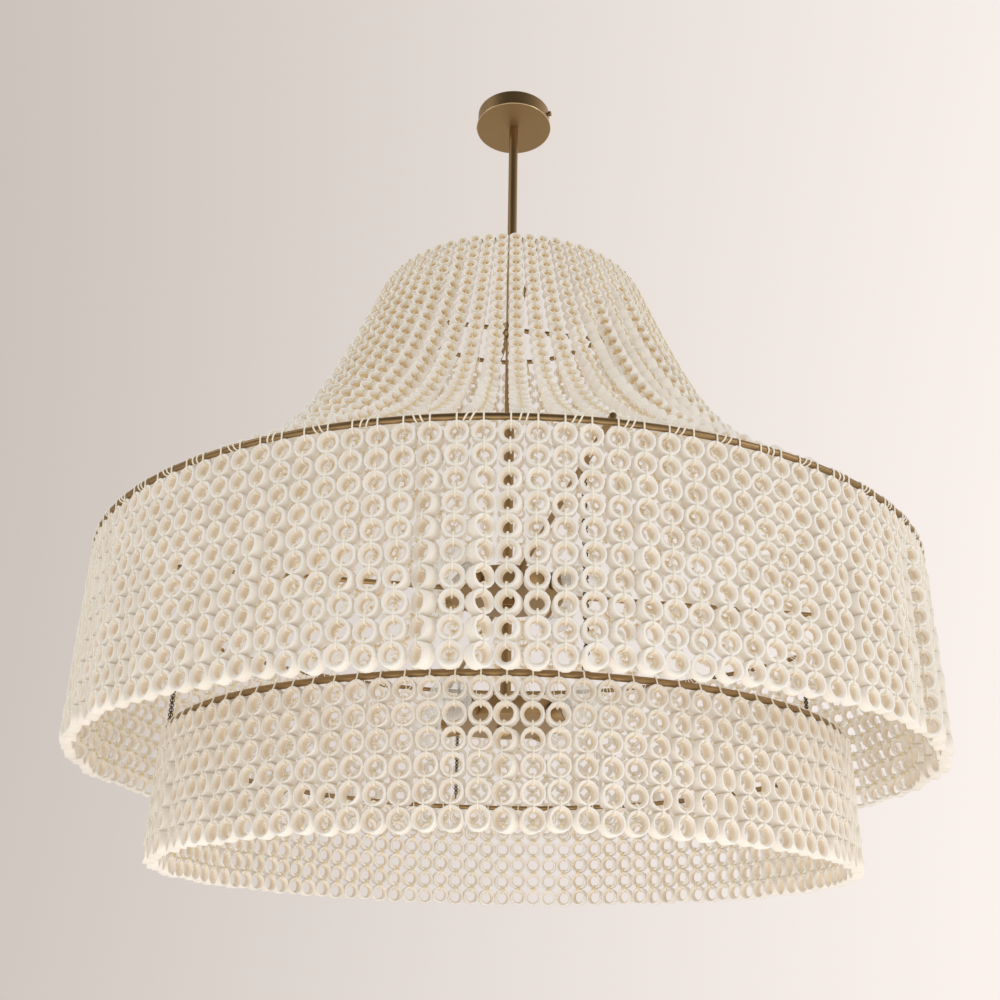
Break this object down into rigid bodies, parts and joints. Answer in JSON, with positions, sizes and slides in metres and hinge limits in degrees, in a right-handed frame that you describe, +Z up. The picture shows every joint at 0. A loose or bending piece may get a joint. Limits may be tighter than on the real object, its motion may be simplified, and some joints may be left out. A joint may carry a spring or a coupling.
{
  "type": "beaded chandelier",
  "caption": "Tiered beaded chandelier: ring beads draped from a small top hoop to a wide hoop, two hanging bead skirts, brass frame, clear bulbs, stem and ceiling canopy.",
  "frame": {"origin": "On the ceiling, at the centre of the bracket's top face; the chandelier hangs straight down from it.", "axes": "+Z is up, out of the ceiling face of the bracket. -Y is the front, as in the picture. +X is to the right of the picture."},
  "size_m": [1.208, 1.208, 1.3447],
  "materials": {
    "antique_brass": "satin antique brass",
    "zinc_steel": "zinc plated",
    "ivory_bead": "matte ivory wash",
    "clear_glass": "clear"
  },
  "bodies": {
    "frame": {"ceiling_bracket": "zinc_steel", "nipple": "zinc_steel", "lock_nut": "zinc_steel", "stem": "antique_brass", "top_spider": "antique_brass", "spider_collar": "antique_brass", "top_hoop": "antique_brass", "upper_hub": "antique_brass", "hub_collar": "antique_brass", "lower_hub": "antique_brass", "finial": "antique_brass", "big_hoop": "antique_brass", "spoke_1": "antique_brass", "spoke_2": "antique_brass", "spoke_3": "antique_brass", "spoke_4": "antique_brass", "upper_socket_1": "antique_brass", "upper_socket_2": "antique_brass", "upper_socket_3": "antique_brass", "upper_socket_4": "antique_brass", "lower_socket_1": "antique_brass", "lower_socket_2": "antique_brass", "lower_socket_3": "antique_brass", "lower_socket_4": "antique_brass", "drape_1": "ivory_bead", "drape_2": "ivory_bead", "drape_3": "ivory_bead"},
    "canopy": {"canopy": "antique_brass"},
    "canopy_screw_1": {"canopy_screw_1": "antique_brass"},
    "canopy_screw_2": {"canopy_screw_2": "antique_brass"},
    "upper_bulb_1": {"upper_bulb_1": "clear_glass"},
    "upper_bulb_2": {"upper_bulb_2": "clear_glass"},
    "upper_bulb_3": {"upper_bulb_3": "clear_glass"},
    "upper_bulb_4": {"upper_bulb_4": "clear_glass"},
    "lower_bulb_1": {"lower_bulb_1": "clear_glass"},
    "lower_bulb_2": {"lower_bulb_2": "clear_glass"},
    "lower_bulb_3": {"lower_bulb_3": "clear_glass"},
    "lower_bulb_4": {"lower_bulb_4": "clear_glass"},
    "chain_1": {"chain_1": "antique_brass"},
    "chain_2": {"chain_2": "antique_brass"},
    "chain_3": {"chain_3": "antique_brass"},
    "chain_4": {"chain_4": "antique_brass"},
    "lower_tier": {"lower_hoop": "antique_brass", "lower_skirt_1": "ivory_bead", "lower_skirt_2": "ivory_bead", "lower_skirt_3": "ivory_bead", "lower_skirt_4": "ivory_bead"},
    "outer_skirt_1": {"outer_skirt_1": "ivory_bead"},
    "outer_skirt_2": {"outer_skirt_2": "ivory_bead"},
    "outer_skirt_3": {"outer_skirt_3": "ivory_bead"},
    "outer_skirt_4": {"outer_skirt_4": "ivory_bead"},
    "outer_skirt_5": {"outer_skirt_5": "ivory_bead"},
    "outer_skirt_6": {"outer_skirt_6": "ivory_bead"},
    "outer_skirt_7": {"outer_skirt_7": "ivory_bead"},
    "outer_skirt_8": {"outer_skirt_8": "ivory_bead"},
    "outer_skirt_9": {"outer_skirt_9": "ivory_bead"},
    "outer_skirt_10": {"outer_skirt_10": "ivory_bead"},
    "outer_skirt_11": {"outer_skirt_11": "ivory_bead"},
    "outer_skirt_12": {"outer_skirt_12": "ivory_bead"}
  },
  "joints": [
    {"name": "canopy_slide", "type": "slide", "parent": "frame", "child": "canopy", "axis": [0, 0, -1], "range_m": [0, 0.3]},
    {"name": "canopy_screw_1_turn", "type": "hinge", "parent": "canopy", "child": "canopy_screw_1", "pos_m": [0.06277, -0.02039, -0.012], "axis": [0.9511, -0.309, 0], "continuous": true},
    {"name": "canopy_screw_2_turn", "type": "hinge", "parent": "canopy", "child": "canopy_screw_2", "pos_m": [-0.06277, 0.02039, -0.012], "axis": [-0.9511, 0.309, 0], "continuous": true},
    {"name": "upper_bulb_1_turn", "type": "hinge", "parent": "frame", "child": "upper_bulb_1", "pos_m": [0.08653, -0.05947, -0.9237], "axis": [0.8241, -0.5664, 0], "continuous": true},
    {"name": "upper_bulb_2_turn", "type": "hinge", "parent": "frame", "child": "upper_bulb_2", "pos_m": [0.05947, 0.08653, -0.9237], "axis": [0.5664, 0.8241, 0], "continuous": true},
    {"name": "upper_bulb_3_turn", "type": "hinge", "parent": "frame", "child": "upper_bulb_3", "pos_m": [-0.08653, 0.05947, -0.9237], "axis": [-0.8241, 0.5664, 0], "continuous": true},
    {"name": "upper_bulb_4_turn", "type": "hinge", "parent": "frame", "child": "upper_bulb_4", "pos_m": [-0.05947, -0.08653, -0.9237], "axis": [-0.5664, -0.8241, 0], "continuous": true},
    {"name": "lower_bulb_1_turn", "type": "hinge", "parent": "frame", "child": "lower_bulb_1", "pos_m": [0.08653, -0.05947, -1.118], "axis": [0.8241, -0.5664, 0], "continuous": true},
    {"name": "lower_bulb_2_turn", "type": "hinge", "parent": "frame", "child": "lower_bulb_2", "pos_m": [0.05947, 0.08653, -1.118], "axis": [0.5664, 0.8241, 0], "continuous": true},
    {"name": "lower_bulb_3_turn", "type": "hinge", "parent": "frame", "child": "lower_bulb_3", "pos_m": [-0.08653, 0.05947, -1.118], "axis": [-0.8241, 0.5664, 0], "continuous": true},
    {"name": "lower_bulb_4_turn", "type": "hinge", "parent": "frame", "child": "lower_bulb_4", "pos_m": [-0.05947, -0.08653, -1.118], "axis": [-0.5664, -0.8241, 0], "continuous": true},
    {"name": "chain_1_sway", "type": "hinge", "parent": "frame", "child": "chain_1", "pos_m": [0.08638, -0.46606, -0.9237], "axis": [0.1822, -0.9833, 0], "range_deg": [-8, 8]},
    {"name": "chain_2_sway", "type": "hinge", "parent": "frame", "child": "chain_2", "pos_m": [0.46606, 0.08638, -0.9237], "axis": [0.1822, -0.9833, 0], "range_deg": [-8, 8]},
    {"name": "chain_3_sway", "type": "hinge", "parent": "frame", "child": "chain_3", "pos_m": [-0.08638, 0.46606, -0.9237], "axis": [0.1822, -0.9833, 0], "range_deg": [-8, 8]},
    {"name": "chain_4_sway", "type": "hinge", "parent": "frame", "child": "chain_4", "pos_m": [-0.46606, -0.08638, -0.9237], "axis": [0.1822, -0.9833, 0], "range_deg": [-8, 8]},
    {"name": "lower_tier_level", "type": "hinge", "parent": "chain_1", "child": "lower_tier", "pos_m": [0.08638, -0.46606, -1.163], "axis": [0.1822, -0.9833, 0], "range_deg": [-8, 8]},
    {"name": "outer_skirt_1_sway", "type": "hinge", "parent": "frame", "child": "outer_skirt_1", "pos_m": [0, -0.58927, -0.932], "axis": [-1, 0, 0], "range_deg": [0, 4]},
    {"name": "outer_skirt_2_sway", "type": "hinge", "parent": "frame", "child": "outer_skirt_2", "pos_m": [0.29463, -0.51032, -0.932], "axis": [-0.866, -0.5, 0], "range_deg": [0, 4]},
    {"name": "outer_skirt_3_sway", "type": "hinge", "parent": "frame", "child": "outer_skirt_3", "pos_m": [0.51032, -0.29463, -0.932], "axis": [-0.5, -0.866, 0], "range_deg": [0, 4]},
    {"name": "outer_skirt_4_sway", "type": "hinge", "parent": "frame", "child": "outer_skirt_4", "pos_m": [0.58927, 0, -0.932], "axis": [0, -1, 0], "range_deg": [0, 4]},
    {"name": "outer_skirt_5_sway", "type": "hinge", "parent": "frame", "child": "outer_skirt_5", "pos_m": [0.51032, 0.29463, -0.932], "axis": [0.5, -0.866, 0], "range_deg": [0, 4]},
    {"name": "outer_skirt_6_sway", "type": "hinge", "parent": "frame", "child": "outer_skirt_6", "pos_m": [0.29463, 0.51032, -0.932], "axis": [0.866, -0.5, 0], "range_deg": [0, 4]},
    {"name": "outer_skirt_7_sway", "type": "hinge", "parent": "frame", "child": "outer_skirt_7", "pos_m": [0, 0.58927, -0.932], "axis": [1, 0, 0], "range_deg": [0, 4]},
    {"name": "outer_skirt_8_sway", "type": "hinge", "parent": "frame", "child": "outer_skirt_8", "pos_m": [-0.29463, 0.51032, -0.932], "axis": [0.866, 0.5, 0], "range_deg": [0, 4]},
    {"name": "outer_skirt_9_sway", "type": "hinge", "parent": "frame", "child": "outer_skirt_9", "pos_m": [-0.51032, 0.29463, -0.932], "axis": [0.5, 0.866, 0], "range_deg": [0, 4]},
    {"name": "outer_skirt_10_sway", "type": "hinge", "parent": "frame", "child": "outer_skirt_10", "pos_m": [-0.58927, 0, -0.932], "axis": [0, 1, 0], "range_deg": [0, 4]},
    {"name": "outer_skirt_11_sway", "type": "hinge", "parent": "frame", "child": "outer_skirt_11", "pos_m": [-0.51032, -0.29463, -0.932], "axis": [-0.5, 0.866, 0], "range_deg": [0, 4]},
    {"name": "outer_skirt_12_sway", "type": "hinge", "parent": "frame", "child": "outer_skirt_12", "pos_m": [-0.29463, -0.51032, -0.932], "axis": [-0.866, 0.5, 0], "range_deg": [0, 4]}
  ],
  "couplings": [
    {"joint": "chain_2_sway", "follows": "chain_1_sway", "ratio": 1},
    {"joint": "chain_3_sway", "follows": "chain_1_sway", "ratio": 1},
    {"joint": "chain_4_sway", "follows": "chain_1_sway", "ratio": 1},
    {"joint": "lower_tier_level", "follows": "chain_1_sway", "ratio": -1}
  ]
}
